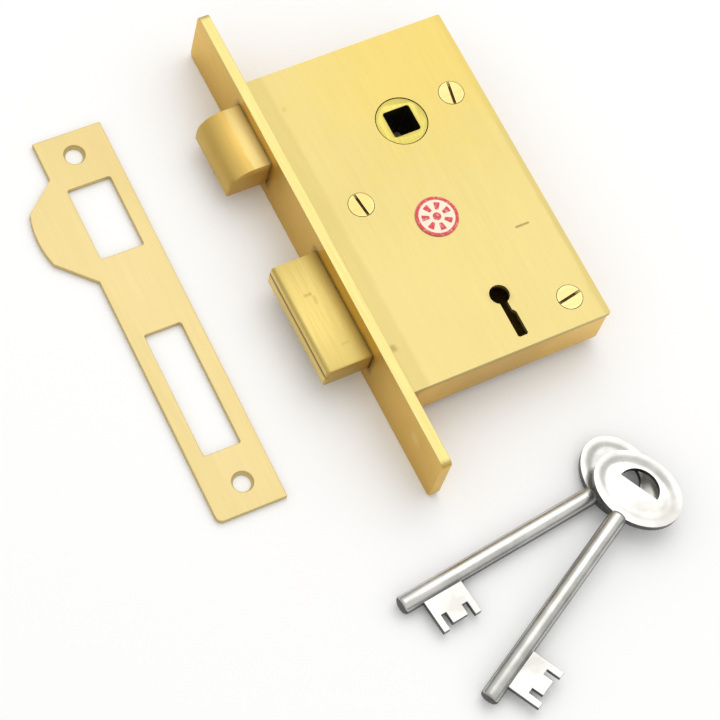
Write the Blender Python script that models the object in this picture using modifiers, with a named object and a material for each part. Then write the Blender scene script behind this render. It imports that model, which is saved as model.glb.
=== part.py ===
"""Brass mortice door lock with a key-operated deadbolt, a spring latch, its strike plate and two keys.

The lock lies on its back. The origin is at the middle of the forend's front face, +X runs
into the door, +Y runs from the deadbolt up to the latch, and +Z comes out of the cap.
The strike plate and the keys lie beside the lock, on the same surface as the forend's edge.
"""

import math

import bmesh
import bpy
from mathutils import Matrix, Vector

MM = 0.001

# Case, cap and forend
FOREND_LENGTH = 145 * MM
FOREND_WIDTH = 20 * MM
FOREND_THICK = 3 * MM
CASE_HEIGHT = 100 * MM
CASE_THICK = 15 * MM
LOCK_DEPTH = 64 * MM
WALL = 1.5 * MM
CAP_THICK = 1.4 * MM
SEAM = 0.1 * MM
GAP = 0.3 * MM

# Working centres
BACKSET = 38.4 * MM
FOLLOWER_Y = 23.4 * MM
CENTRES = 57 * MM
KEY_Y = FOLLOWER_Y - CENTRES
SPINDLE = 8 * MM

# Bolts
BOLT_HEIGHT = 33 * MM
BOLT_THICK = 7 * MM
BOLT_Y = -18.5 * MM
BOLT_THROW = 13.4 * MM
LATCH_HEIGHT = 19.4 * MM
LATCH_THICK = 10 * MM
LATCH_Y = 35.7 * MM
LATCH_THROW = 12 * MM

# Levers and the key that lifts them
LEVER_THICK = 1.2 * MM
LEVER_PITCH = 1.6 * MM
LEVER_PIVOT = Vector((57 * MM, -8 * MM, 0))
KEY_CUTS = (7.4 * MM, 10.6 * MM, 11.3 * MM, 10.9 * MM, 7.8 * MM)
KEY_REACH = 11.8 * MM
KEY_LENGTH = 70.8 * MM
SHANK_RADIUS = 2.55 * MM
BOW_WIDTH = 25 * MM
BOW_LENGTH = 18.3 * MM
BOW_THICK = 2.4 * MM

# Strike plate
STRIKE_LENGTH = 119.4 * MM
STRIKE_WIDTH = 19.9 * MM
STRIKE_THICK = 1.6 * MM

# Planes that several parts share
FOREND_BACK = FOREND_THICK
CASE_FRONT = FOREND_BACK + SEAM
CASE_TOP = CASE_THICK / 2
CASE_BOTTOM = -CASE_THICK / 2
FLOOR_TOP = CASE_BOTTOM + WALL
WALL_TOP = CASE_TOP - CAP_THICK - SEAM
CAP_UNDERSIDE = CASE_TOP - CAP_THICK
TABLE = -FOREND_WIDTH / 2
ROUND_STEPS = 40


# ---------------------------------------------------------------- scene, materials and tools

def clear_scene():
    for obj in list(bpy.data.objects):
        bpy.data.objects.remove(obj, do_unlink=True)


def make_collection(name):
    collection = bpy.data.collections.new(name)
    bpy.context.scene.collection.children.link(collection)
    return collection


def metal(name, colour, roughness):
    material = bpy.data.materials.new(name)
    material.use_nodes = True
    shader = material.node_tree.nodes["Principled BSDF"]
    shader.inputs["Base Color"].default_value = (*colour, 1)
    shader.inputs["Roughness"].default_value = roughness
    shader.inputs["Metallic"].default_value = 1.0
    return material


def printed_paper(name, colour):
    material = metal(name, colour, 0.6)
    material.node_tree.nodes["Principled BSDF"].inputs["Metallic"].default_value = 0.0
    return material


clear_scene()
LOCK = make_collection("mortice_door_lock")
CUTTERS = make_collection("cutters")

PALE_BRASS = metal("pale_brass", (0.86, 0.72, 0.38), 0.38)
DEEP_BRASS = metal("deep_brass", (0.68, 0.50, 0.22), 0.32)
STEEL = metal("zinc_steel", (0.62, 0.62, 0.60), 0.40)
SPRING_STEEL = metal("spring_steel", (0.45, 0.45, 0.46), 0.35)
NICKEL = metal("nickel_plate", (0.80, 0.80, 0.78), 0.18)
RED_PRINT = printed_paper("red_print", (0.75, 0.12, 0.12))


def add_part(name, data, material, place=(0, 0, 0), turn=(0, 0, 0)):
    """Link data as a named part of the lock, at its place."""
    obj = bpy.data.objects.new(name, data)
    obj.location = place
    obj.rotation_euler = turn
    data.materials.append(material)
    LOCK.objects.link(obj)
    return obj


def as_cutter(obj):
    """Move an object out of the lock and show it as a guide only."""
    if obj.name in LOCK.objects:
        LOCK.objects.unlink(obj)
    CUTTERS.objects.link(obj)
    obj.hide_render = True
    obj.display_type = "WIRE"
    return obj


def mesh_from(builder, name):
    """A mesh built by builder(bm)."""
    bm = bmesh.new()
    builder(bm)
    bmesh.ops.recalc_face_normals(bm, faces=bm.faces)
    mesh = bpy.data.meshes.new(name)
    bm.to_mesh(mesh)
    bm.free()
    return mesh


def box_mesh(name, low, high):
    """A box between two corners."""
    low = Vector(low)
    high = Vector(high)

    def build(bm):
        bmesh.ops.create_cube(bm, size=1)
        bmesh.ops.scale(bm, vec=high - low, verts=bm.verts)
        bmesh.ops.translate(bm, vec=(low + high) / 2, verts=bm.verts)

    return mesh_from(build, name)


def rod_mesh(name, radius, low, high, top_radius=None, steps=ROUND_STEPS):
    """A cylinder or cone about Z, from height low to height high."""
    def build(bm):
        top = radius if top_radius is None else top_radius
        bmesh.ops.create_cone(bm, cap_ends=True, segments=steps, radius1=radius, radius2=top,
                              depth=high - low)
        bmesh.ops.translate(bm, vec=(0, 0, (low + high) / 2), verts=bm.verts)

    return mesh_from(build, name)


def shade_round(mesh, angle=35):
    mesh.shade_smooth()
    mesh.set_sharp_from_angle(angle=math.radians(angle))


def cutter(name, mesh, place=(0, 0, 0), turn=(0, 0, 0)):
    obj = bpy.data.objects.new(name, mesh)
    obj.location = place
    obj.rotation_euler = turn
    return as_cutter(obj)


def combine(obj, tool, operation):
    """Boolean of obj with tool, kept as a live modifier."""
    step = obj.modifiers.new(operation.lower() + "_" + tool.name, "BOOLEAN")
    step.operation = operation
    step.solver = "EXACT"
    step.object = tool


def cut(obj, tool):
    combine(obj, tool, "DIFFERENCE")


def fuse(obj, tool):
    combine(obj, tool, "UNION")


def soften(obj, width, segments=2, angle=40):
    """Round the sharp edges of obj."""
    bevel = obj.modifiers.new("soft_edges", "BEVEL")
    bevel.width = width
    bevel.segments = segments
    bevel.limit_method = "ANGLE"
    bevel.angle_limit = math.radians(angle)


def arc(centre, radius, start, end, steps):
    """Points from angle start to angle end, in degrees."""
    points = []
    for i in range(steps + 1):
        angle = math.radians(start + (end - start) * i / steps)
        points.append((centre[0] + radius * math.cos(angle), centre[1] + radius * math.sin(angle)))
    return points


def rounded_rectangle(centre, width, height, radius, steps=4):
    """A rectangle with round corners, anticlockwise."""
    points = []
    for quarter, (sx, sy) in enumerate(((1, 1), (-1, 1), (-1, -1), (1, -1))):
        corner = (centre[0] + sx * (width / 2 - radius), centre[1] + sy * (height / 2 - radius))
        points += arc(corner, radius, 90 * quarter, 90 * quarter + 90, steps)
    return points


def flat_curve(name, outlines, thick):
    """A filled outline, the later outlines being holes, with its thickness centred on Z."""
    curve = bpy.data.curves.new(name, "CURVE")
    curve.dimensions = "2D"
    curve.fill_mode = "BOTH"
    curve.extrude = thick / 2
    for outline in outlines:
        spline = curve.splines.new("POLY")
        spline.points.add(len(outline) - 1)
        for point, (x, y) in zip(spline.points, outline):
            point.co = (x, y, 0, 1)
        spline.use_cyclic_u = True
    return curve


def plate_mesh(name, outlines, thick):
    """A filled outline as a closed mesh, for pieces that are cut, joined or bevelled."""
    curve = flat_curve(name, outlines, thick)
    helper = bpy.data.objects.new(name + "_outline", curve)
    bpy.context.scene.collection.objects.link(helper)
    bpy.context.view_layer.update()
    evaluated = helper.evaluated_get(bpy.context.evaluated_depsgraph_get())
    mesh = bpy.data.meshes.new_from_object(evaluated)
    mesh.name = name
    bpy.data.objects.remove(helper, do_unlink=True)
    bpy.data.curves.remove(curve)
    bm = bmesh.new()
    bm.from_mesh(mesh)
    bmesh.ops.remove_doubles(bm, verts=bm.verts, dist=0.001 * MM)
    flat = math.radians(1)
    bmesh.ops.dissolve_limit(bm, angle_limit=flat, verts=bm.verts, edges=bm.edges)
    bmesh.ops.recalc_face_normals(bm, faces=bm.faces)
    bm.to_mesh(mesh)
    bm.free()
    return mesh


def turned(name, profile, material, place=(0, 0, 0), turn=(0, 0, 0), steps=ROUND_STEPS):
    """A profile of (radius, height) pairs, top to bottom, turned about Z."""
    mesh = bpy.data.meshes.new(name)
    verts = [(radius, 0, height) for radius, height in profile]
    edges = [(i, i + 1) for i in range(len(profile) - 1)]
    mesh.from_pydata(verts, edges, [])
    obj = add_part(name, mesh, material, place, turn)
    screw = obj.modifiers.new("turn", "SCREW")
    screw.steps = steps
    screw.render_steps = steps
    screw.use_merge_vertices = True
    screw.merge_threshold = 0.001 * MM
    return obj


# Turns that stand a flat outline up: its X and Y become world Y and Z, or world X and Z
FACING_X = (math.pi / 2, 0, math.pi / 2)
FACING_Y = (math.pi / 2, 0, 0)


# ---------------------------------------------------------------- forend

RIVET_RADIUS = 2 * MM
RIVET_DEPTH = 1.9 * MM
RIVET_PLACES = (11.8 * MM, -43 * MM)


def make_forend():
    """Face plate let into the door's edge, with a window for each bolt."""
    clearance = 0.4 * MM
    corner = 1.6 * MM
    outline = rounded_rectangle((0, 0), FOREND_LENGTH, FOREND_WIDTH, corner)
    latch_window = rounded_rectangle((LATCH_Y, 0), LATCH_HEIGHT + 2 * clearance,
                                     LATCH_THICK + 2 * clearance, clearance, 2)
    bolt_window = rounded_rectangle((BOLT_Y, 0), BOLT_HEIGHT + 2 * clearance,
                                    BOLT_THICK + 2 * clearance, clearance, 2)
    mesh = plate_mesh("forend", [outline, latch_window, bolt_window], FOREND_THICK)
    forend = add_part("forend", mesh, DEEP_BRASS, (FOREND_THICK / 2, 0, 0), FACING_X)
    for index, y in enumerate(RIVET_PLACES):
        socket = rod_mesh("rivet_socket", RIVET_RADIUS + GAP, 0, RIVET_DEPTH + WALL, steps=16)
        place = (FOREND_BACK - RIVET_DEPTH - GAP, y, 0)
        cut(forend, cutter(f"rivet_socket_{index + 1}", socket, place, (0, math.pi / 2, 0)))
    soften(forend, 0.3 * MM)


def make_rivets():
    """Tenons that hold the case's front wall to the back of the forend."""
    head = 1 * MM
    head_radius = RIVET_RADIUS + 1 * MM
    inside = CASE_FRONT + WALL
    end = FOREND_BACK - RIVET_DEPTH - inside
    profile = [(0, head), (head_radius, head), (head_radius, GAP), (RIVET_RADIUS, GAP),
               (RIVET_RADIUS, end), (0, end)]
    for index, y in enumerate(RIVET_PLACES):
        turned(f"forend_rivet_{index + 1}", profile, DEEP_BRASS, (inside, y, 0),
               (0, math.pi / 2, 0), 16)


# ---------------------------------------------------------------- case and cap

BOSS_RADIUS = 7.1 * MM
FOLLOWER_CENTRE = (BACKSET, FOLLOWER_Y)
SCREW_PLACES = ((55.4 * MM, 26.2 * MM), (16.2 * MM, 4.5 * MM), (55.8 * MM, -41.6 * MM))
SCREW_TURNS = (80, 97, 10)
SCREW_HEAD = 3.45 * MM
SCREW_SHANK = 1.5 * MM
PILLAR_RADIUS = 3.2 * MM


def keyhole_outline():
    """Round head, then a slot for the bit that lies to one side and is stepped at its neck."""
    head = SHANK_RADIUS + GAP
    slot_left = -1.2 * MM
    slot_right = 1.85 * MM
    neck = 1.05 * MM
    slot_end = KEY_REACH + 1.4 * MM
    corner = 0.4 * MM
    left = math.degrees(math.asin(-slot_left / head))
    right = math.degrees(math.asin(neck / head))
    points = arc((0, 0), head, -90 + right, 270 - left, 16)
    points += [(slot_left, -slot_end + corner), (slot_left + corner, -slot_end)]
    points += [(slot_right - corner, -slot_end), (slot_right, -slot_end + corner)]
    points += [(slot_right, -6.3 * MM), (slot_right - corner, -5.6 * MM), (neck, -5.2 * MM)]
    return [(BACKSET + x, KEY_Y + y) for x, y in points]


def make_case():
    """Cast tray: floor, four walls, a window for each bolt and the through holes."""
    mesh = box_mesh("case_body", (CASE_FRONT, -CASE_HEIGHT / 2, CASE_BOTTOM),
                    (LOCK_DEPTH, CASE_HEIGHT / 2, WALL_TOP))
    bm = bmesh.new()
    bm.from_mesh(mesh)
    floor_edges = []
    for edge in bm.edges:
        middle = (edge.verts[0].co + edge.verts[1].co) / 2
        at_floor = abs(middle.z - CASE_BOTTOM) < SEAM and middle.x > CASE_FRONT + WALL
        at_back_corner = middle.x > LOCK_DEPTH - WALL and abs(middle.z) < WALL
        if at_floor or at_back_corner:
            floor_edges.append(edge)
    bmesh.ops.bevel(bm, geom=floor_edges, offset=1.4 * MM, segments=3, profile=0.5, affect="EDGES")
    bm.to_mesh(mesh)
    bm.free()
    case = add_part("case_body", mesh, DEEP_BRASS)
    inside = box_mesh("case_inside", (CASE_FRONT + WALL, -CASE_HEIGHT / 2 + WALL, FLOOR_TOP),
                      (LOCK_DEPTH - WALL, CASE_HEIGHT / 2 - WALL, CASE_TOP))
    cut(case, cutter("case_inside", inside))
    for name, y, height, thick in (("latch_mouth", LATCH_Y, LATCH_HEIGHT, LATCH_THICK),
                                   ("bolt_mouth", BOLT_Y, BOLT_HEIGHT, BOLT_THICK)):
        half = height / 2 + 0.4 * MM
        half_thick = thick / 2 + 0.4 * MM
        mouth = box_mesh(name, (FOREND_BACK - WALL, y - half, -half_thick),
                         (CASE_FRONT + 2 * WALL, y + half, half_thick))
        cut(case, cutter(name, mouth))
    through = plate_mesh("floor_keyhole", [keyhole_outline()], 4 * WALL)
    cut(case, cutter("floor_keyhole", through, (0, 0, CASE_BOTTOM)))
    hub_hole = rod_mesh("floor_hub_hole", BOSS_RADIUS + GAP, CASE_BOTTOM - WALL, FLOOR_TOP + WALL)
    cut(case, cutter("floor_hub_hole", hub_hole, (*FOLLOWER_CENTRE, 0)))
    for index, y in enumerate(RIVET_PLACES):
        hole = rod_mesh("rivet_hole", RIVET_RADIUS + GAP, -2 * WALL, 2 * WALL, steps=16)
        place = (CASE_FRONT + WALL / 2, y, 0)
        cut(case, cutter(f"rivet_hole_{index + 1}", hole, place, (0, math.pi / 2, 0)))


def make_cap():
    """Flat cover, countersunk for its three screws, with the follower hole and the keyhole."""
    left = CASE_FRONT
    width = LOCK_DEPTH - left
    centre = (left + width / 2, 0)
    outline = rounded_rectangle(centre, width, CASE_HEIGHT, 0.5 * MM, 2)
    hub_hole = arc(FOLLOWER_CENTRE, BOSS_RADIUS + GAP, 0, 360 - 360 / ROUND_STEPS, ROUND_STEPS - 1)
    mesh = plate_mesh("case_cap", [outline, hub_hole, keyhole_outline()], CAP_THICK)
    cap = add_part("case_cap", mesh, PALE_BRASS, (0, 0, CASE_TOP - CAP_THICK / 2))
    overrun = SEAM
    flare = (SCREW_HEAD - SCREW_SHANK) / CAP_THICK * overrun
    for index, (x, y) in enumerate(SCREW_PLACES):
        sink = rod_mesh("countersink", SCREW_SHANK + GAP - flare, CAP_UNDERSIDE - overrun,
                        CASE_TOP + overrun, SCREW_HEAD + GAP + flare, 32)
        cut(cap, cutter(f"countersink_{index + 1}", sink, (x, y, 0)))
    soften(cap, 0.15 * MM, 1)


def make_cap_screws():
    """Slotted countersunk screws that hold the cap, each in a tapped pillar on the case floor."""
    slot_width = 0.9 * MM
    slot_depth = 0.8 * MM
    shank_end = 1.5 * MM
    for index, ((x, y), degrees) in enumerate(zip(SCREW_PLACES, SCREW_TURNS)):
        profile = [(0, CASE_TOP), (SCREW_HEAD, CASE_TOP), (SCREW_SHANK, CAP_UNDERSIDE),
                   (SCREW_SHANK, shank_end), (0, shank_end)]
        screw = turned(f"cap_screw_{index + 1}", profile, PALE_BRASS, (x, y, 0), steps=32)
        slot = box_mesh("slot", (-2 * SCREW_HEAD, -slot_width / 2, CASE_TOP - slot_depth),
                        (2 * SCREW_HEAD, slot_width / 2, CASE_TOP + slot_depth))
        cut(screw, cutter(f"screw_slot_{index + 1}", slot, (x, y, 0),
                          (0, 0, math.radians(degrees))))
        bore = SCREW_SHANK + GAP
        top = CAP_UNDERSIDE - GAP
        base = FLOOR_TOP + GAP
        depth = shank_end - GAP
        pillar = [(0, depth), (bore, depth), (bore, top), (PILLAR_RADIUS, top),
                  (PILLAR_RADIUS, base), (0, base)]
        turned(f"cap_pillar_{index + 1}", pillar, DEEP_BRASS, (x, y, 0), steps=20)


# ---------------------------------------------------------------- latch

LATCH_INNER = 10 * MM
BAR_LOW = 41 * MM
BAR_HIGH = 45 * MM
CRANK_FRONT = 41.1 * MM
CRANK_BACK = 44.1 * MM
CRANK_LOW = 34.5 * MM


def make_latch_bolt():
    """Spring latch: flat on the side that the cap covers, curved down to the nose."""
    half = LATCH_THICK / 2
    shoulder = -5.5 * MM
    nose_drop = 6 * MM
    nose_run = LATCH_THROW + shoulder
    points = [(LATCH_INNER, -half), (LATCH_INNER, half)]
    steps = 10
    for i in range(steps + 1):
        angle = math.pi / 2 * i / steps
        points.append((shoulder - nose_run * math.sin(angle),
                       half - nose_drop + nose_drop * math.cos(angle)))
    points.append((-LATCH_THROW, -half))
    mesh = plate_mesh("latch_bolt", [points], LATCH_HEIGHT)
    latch = add_part("latch_bolt", mesh, DEEP_BRASS, (0, LATCH_Y, 0), FACING_Y)
    soften(latch, 0.3 * MM)


def make_latch_tail():
    """Steel plate behind the latch, whose crank the follower pulls."""
    foot = LATCH_INNER + GAP
    web = 2.2 * MM
    points = [(foot, 27.5 * MM), (foot + web, 27.5 * MM), (foot + web, BAR_LOW),
              (CRANK_FRONT, BAR_LOW), (CRANK_FRONT, CRANK_LOW), (CRANK_BACK, CRANK_LOW),
              (CRANK_BACK, BAR_HIGH), (foot, BAR_HIGH)]
    add_part("latch_tail", flat_curve("latch_tail", [points], 2.4 * MM), STEEL)


SPRING_Y = 38.8 * MM
SPRING_RADIUS = 2.4 * MM
SPRING_WIRE = 0.35 * MM
SPRING_TURNS = 7
SPRING_GUIDE_START = 57 * MM


def make_latch_spring():
    """Compression spring between the crank and the back wall, on a guide pin."""
    start = CRANK_BACK + GAP + SPRING_WIRE
    end = LOCK_DEPTH - WALL - GAP - SPRING_WIRE
    per_turn = 12
    count = SPRING_TURNS * per_turn
    curve = bpy.data.curves.new("latch_spring", "CURVE")
    curve.dimensions = "3D"
    curve.bevel_depth = SPRING_WIRE
    curve.bevel_resolution = 2
    curve.use_fill_caps = True
    spline = curve.splines.new("POLY")
    spline.points.add(count)
    for i, point in enumerate(spline.points):
        angle = 2 * math.pi * i / per_turn
        x = start + (end - start) * i / count
        point.co = (x, SPRING_RADIUS * math.cos(angle), SPRING_RADIUS * math.sin(angle), 1)
    add_part("latch_spring", curve, SPRING_STEEL, (0, SPRING_Y, 0))
    guide_length = LOCK_DEPTH - WALL - GAP - SPRING_GUIDE_START
    pin = rod_mesh("spring_guide", 1.3 * MM, 0, guide_length, steps=16)
    shade_round(pin)
    add_part("spring_guide", pin, STEEL, (SPRING_GUIDE_START, SPRING_Y, 0), (0, math.pi / 2, 0))


# ---------------------------------------------------------------- follower

def make_follower():
    """Hub that the spindle turns, with one arm that draws the latch back."""
    hub = 9 * MM
    hub_half = -FLOOR_TOP - GAP
    arm_half = 2.4 * MM
    arm_reach = 16.5 * MM
    arm_thick = 2.5 * MM
    boss_top = CASE_TOP - SEAM
    profile = [(0, boss_top), (BOSS_RADIUS - 0.4 * MM, boss_top),
               (BOSS_RADIUS, boss_top - 0.4 * MM), (BOSS_RADIUS, hub_half), (hub, hub_half),
               (hub, -hub_half), (BOSS_RADIUS, -hub_half), (BOSS_RADIUS, -boss_top),
               (0, -boss_top)]
    follower = turned("follower", profile, DEEP_BRASS, (*FOLLOWER_CENTRE, 0))
    arm = box_mesh("follower_arm", (-arm_half, 0, -arm_thick), (arm_half, arm_reach, arm_thick))
    fuse(follower, cutter("follower_arm", arm, (*FOLLOWER_CENTRE, 0)))
    half = SPINDLE / 2
    square = box_mesh("spindle_hole", (-half, -half, -CASE_THICK), (half, half, CASE_THICK))
    cut(follower, cutter("spindle_hole", square, (*FOLLOWER_CENTRE, 0)))


# ---------------------------------------------------------------- deadbolt

HEAD_INNER = 9 * MM
TAIL_BOTTOM = FLOOR_TOP + GAP
TAIL_THICK = 1.6 * MM
TAIL_TOP = TAIL_BOTTOM + TAIL_THICK
TAIL_END = 40 * MM
TAIL_LOW = -22.9 * MM
TAIL_HIGH = -4 * MM
STUMP = Vector((27.5 * MM, -14 * MM, 0))
GUIDE = Vector((35 * MM, -7.5 * MM, 0))
GUIDE_RADIUS = 1.4 * MM
NECK_RADIUS = 0.9 * MM


def make_deadbolt():
    """Brass head, a shoulder that stops it in the case, and a tail that the key draws."""
    low = BOLT_Y - BOLT_HEIGHT / 2
    high = BOLT_Y + BOLT_HEIGHT / 2
    half = BOLT_THICK / 2
    head = box_mesh("deadbolt", (-BOLT_THROW, low, -half), (HEAD_INNER, high, half))
    bolt = add_part("deadbolt", head, DEEP_BRASS)
    shoulder_front = CASE_FRONT + WALL + GAP
    shoulder = box_mesh("bolt_shoulder", (shoulder_front, low, TAIL_BOTTOM), (HEAD_INNER, high, 0))
    fuse(bolt, cutter("bolt_shoulder", shoulder))

    talon_middle = BACKSET - BOLT_THROW / 2
    talon_half = 4 * MM
    talon_top = KEY_Y + KEY_REACH + 0.6 * MM
    start = HEAD_INNER - 2 * MM
    outline = [(start, TAIL_LOW), (talon_middle - talon_half, TAIL_LOW),
               (talon_middle - talon_half + 0.6 * MM, talon_top),
               (talon_middle + talon_half - 0.6 * MM, talon_top),
               (talon_middle + talon_half, TAIL_LOW), (TAIL_END, TAIL_LOW), (TAIL_END, TAIL_HIGH),
               (start, TAIL_HIGH)]
    slot_low = GUIDE.x - BOLT_THROW - GUIDE_RADIUS - GAP
    slot_high = GUIDE.x + GUIDE_RADIUS + GAP
    slot = rounded_rectangle(((slot_low + slot_high) / 2, GUIDE.y), slot_high - slot_low,
                             2 * (GUIDE_RADIUS + GAP), GUIDE_RADIUS)
    neck_hole = arc(STUMP, NECK_RADIUS + GAP, 0, 345, 23)
    tail = plate_mesh("bolt_tail", [outline, slot, neck_hole], TAIL_THICK)
    fuse(bolt, cutter("bolt_tail", tail, (0, 0, TAIL_BOTTOM + TAIL_THICK / 2)))
    soften(bolt, 0.25 * MM, 2, 80)

    side = 1.5 * MM
    base = TAIL_TOP + GAP
    block = box_mesh("bolt_stump", (-side, -side, base), (side, side, -base + 2 * GAP))
    stump = add_part("bolt_stump", block, STEEL, STUMP)
    neck = rod_mesh("stump_neck", NECK_RADIUS, TAIL_BOTTOM + GAP, base + GAP, steps=16)
    fuse(stump, cutter("stump_neck", neck, STUMP))

    pin = rod_mesh("bolt_guide_pin", GUIDE_RADIUS, FLOOR_TOP + SEAM, TAIL_TOP, steps=16)
    shade_round(pin)
    add_part("bolt_guide_pin", pin, STEEL, GUIDE)


# ---------------------------------------------------------------- levers

PIVOT_RADIUS = 2 * MM
LEVER_END = 4.5 * MM
GATE_HALF = 1.8 * MM


def lever_outline(belly_y):
    """Lever lifted to its gate: pivot eye, belly over the key, and the two pockets' frame."""
    eye = (LEVER_PIVOT.x, LEVER_PIVOT.y)
    nose = 23.4 * MM
    top = LEVER_PIVOT.y + LEVER_END
    chin = STUMP.y - GATE_HALF - 2.4 * MM
    belly_radius = 5 * MM
    points = arc(eye, LEVER_END, -100, 90, 12)
    points += [(nose + 1 * MM, top), (nose, top - 1 * MM), (nose, chin + 1 * MM)]
    points += [(nose + 1 * MM, chin), (31 * MM, chin)]
    points += arc((BACKSET, belly_y + belly_radius), belly_radius, -150, -30, 8)
    points.append((46 * MM, chin))
    return points


def pocket_outline():
    """Front and back pockets for the bolt stump, joined by the gate."""
    low = STUMP.y - GATE_HALF
    gate_top = STUMP.y + GATE_HALF
    front_top = -6.2 * MM
    back_top = -8.4 * MM
    return [(24.9 * MM, low), (43.4 * MM, low), (43.4 * MM, back_top), (34.4 * MM, back_top),
            (34.4 * MM, gate_top), (31.4 * MM, gate_top), (31.4 * MM, front_top),
            (24.9 * MM, front_top)]


def make_levers():
    """Five levers on one pin, each lifted by its own step of the key, each with its spring."""
    eye = (LEVER_PIVOT.x, LEVER_PIVOT.y)
    bore = arc(eye, PIVOT_RADIUS + GAP, 0, 345, 23)
    middle = (len(KEY_CUTS) - 1) / 2
    for index, cut_radius in enumerate(KEY_CUTS):
        height = (index - middle) * LEVER_PITCH
        belly = KEY_Y + cut_radius + SEAM
        outlines = [lever_outline(belly), pocket_outline(), bore]
        local = [[(x - eye[0], y - eye[1]) for x, y in line] for line in outlines]
        name = f"lever_{index + 1}"
        lever = add_part(name, flat_curve(name, local, LEVER_THICK), DEEP_BRASS,
                         (*eye, height))
        strip = f"lever_spring_{index + 1}"
        add_part(strip, flat_curve(strip, [spring_strip(eye)], LEVER_THICK * 0.8), SPRING_STEEL,
                 lever.location)


def spring_strip(eye):
    """Thin leaf that runs along the lever's top edge and rises to bear on the stop pin."""
    root = 52 * MM
    tip = 29.5 * MM
    rise = 2.9 * MM
    leaf = 0.35 * MM
    base = LEVER_PIVOT.y + LEVER_END + GAP
    steps = 8
    lower = []
    for i in range(steps + 1):
        along = i / steps
        x = root + (tip - root) * along
        lower.append((x - eye[0], base + rise * along ** 2 - eye[1]))
    upper = [(x, y + leaf) for x, y in reversed(lower)]
    return lower + upper


def make_lever_posts():
    """Pin that the levers turn on, and the pin that their springs bear on."""
    low = FLOOR_TOP + SEAM
    high = CAP_UNDERSIDE - GAP
    for name, radius, place in (("lever_pivot", PIVOT_RADIUS, LEVER_PIVOT),
                                ("spring_stop_pin", 1.1 * MM, Vector((31 * MM, 1.4 * MM, 0)))):
        mesh = rod_mesh(name, radius, low, high, steps=20)
        shade_round(mesh)
        add_part(name, mesh, STEEL, place)


# ---------------------------------------------------------------- inspection label

def make_label():
    """Thin printed disc on the cap."""
    thick = 0.15 * MM
    disc = rod_mesh("inspection_label", 6 * MM, 0, thick, steps=48)
    add_part("inspection_label", disc, RED_PRINT, (33.6 * MM, -6.5 * MM, CASE_TOP + SEAM))


# ---------------------------------------------------------------- strike plate

def make_strike_plate():
    """Keep for the door frame: two windows, two screw holes and a lip for the latch."""
    half_width = STRIKE_WIDTH / 2
    half_length = STRIKE_LENGTH / 2
    foot = 1.8 * MM
    lip = 9.2 * MM
    lip_bow = 1.2 * MM
    lip_high = 40.1 * MM
    lip_low = 24.1 * MM
    lip_half = (lip_high - lip_low) / 2
    lip_radius = (lip_half ** 2 + lip_bow ** 2) / (2 * lip_bow)
    lip_spread = math.degrees(math.asin(lip_half / lip_radius))
    lip_centre = (-half_width - lip - lip_bow + lip_radius, lip_low + lip_half)
    outline = arc((-half_width + foot, -half_length + foot), foot, 180, 270, 4)
    outline += [(half_width, -half_length), (half_width, half_length), (-half_width, half_length)]
    outline.append((-half_width, 47.8 * MM))
    outline += arc(lip_centre, lip_radius, 180 - lip_spread, 180 + lip_spread, 6)
    outline += [(-half_width - 5.3 * MM, 20.2 * MM), (-half_width, 14.9 * MM)]
    latch_window = rounded_rectangle((-0.6 * MM, 32.1 * MM), 12.6 * MM, 22.3 * MM, 0.5 * MM, 2)
    bolt_window = rounded_rectangle((-0.2 * MM, -22.6 * MM), 10.7 * MM, 37.5 * MM, 0.5 * MM, 2)
    mesh = plate_mesh("strike_plate", [outline, latch_window, bolt_window], STRIKE_THICK)
    place = (-43.7 * MM, 1.9 * MM, TABLE + STRIKE_THICK / 2)
    turn = (0, 0, math.radians(-0.75))
    strike = add_part("strike_plate", mesh, PALE_BRASS, place, turn)
    for index, (x, y) in enumerate(((-0.6 * MM, 52.7 * MM), (0.8 * MM, -51.6 * MM))):
        sink = rod_mesh("strike_hole", 2.0 * MM, -STRIKE_THICK, STRIKE_THICK / 2 + SEAM,
                        3.0 * MM, 28)
        spot = strike.matrix_basis @ Vector((x, y, 0))
        cut(strike, cutter(f"strike_hole_{index + 1}", sink, spot))
    soften(strike, 0.2 * MM, 2)


# ---------------------------------------------------------------- keys

BIT_START = 5.5 * MM
BIT_TOOTH = 1.9 * MM
BIT_THICK = 1.9 * MM


def bow_outline():
    """Rounded handle, wide across the shank, with a D-shaped hole beyond its middle."""
    squareness = 2.6
    steps = 40
    outline = []
    for i in range(steps):
        angle = 2 * math.pi * i / steps
        c = math.cos(angle)
        s = math.sin(angle)
        x = BOW_LENGTH / 2 * math.copysign(abs(c) ** (2 / squareness), c)
        y = BOW_WIDTH / 2 * math.copysign(abs(s) ** (2 / squareness), s)
        outline.append((x, y))
    hole = []
    half_hole = 5.8 * MM
    bulge = 5.0 * MM
    for i in range(13):
        angle = math.pi * (i / 12 - 0.5)
        hole.append((0.6 * MM + bulge * math.cos(angle), half_hole * math.sin(angle)))
    return [outline, hole]


def bit_outline():
    """Toothed bit: an outer tooth each end, and a step for each lever between them."""
    start = -KEY_LENGTH + BIT_START
    root = -SHANK_RADIUS / 2
    points = [(start, root), (start, -KEY_REACH)]
    x = start + BIT_TOOTH
    points.append((x, -KEY_REACH))
    for reach in KEY_CUTS:
        points.append((x, -reach))
        x += LEVER_PITCH
        points.append((x, -reach))
    points += [(x, -KEY_REACH), (x + BIT_TOOTH, -KEY_REACH), (x + BIT_TOOTH, root)]
    tidy = [points[0]]
    for point in points[1:]:
        if (Vector(point) - Vector(tidy[-1])).length > SEAM:
            tidy.append(point)
    return tidy


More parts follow.
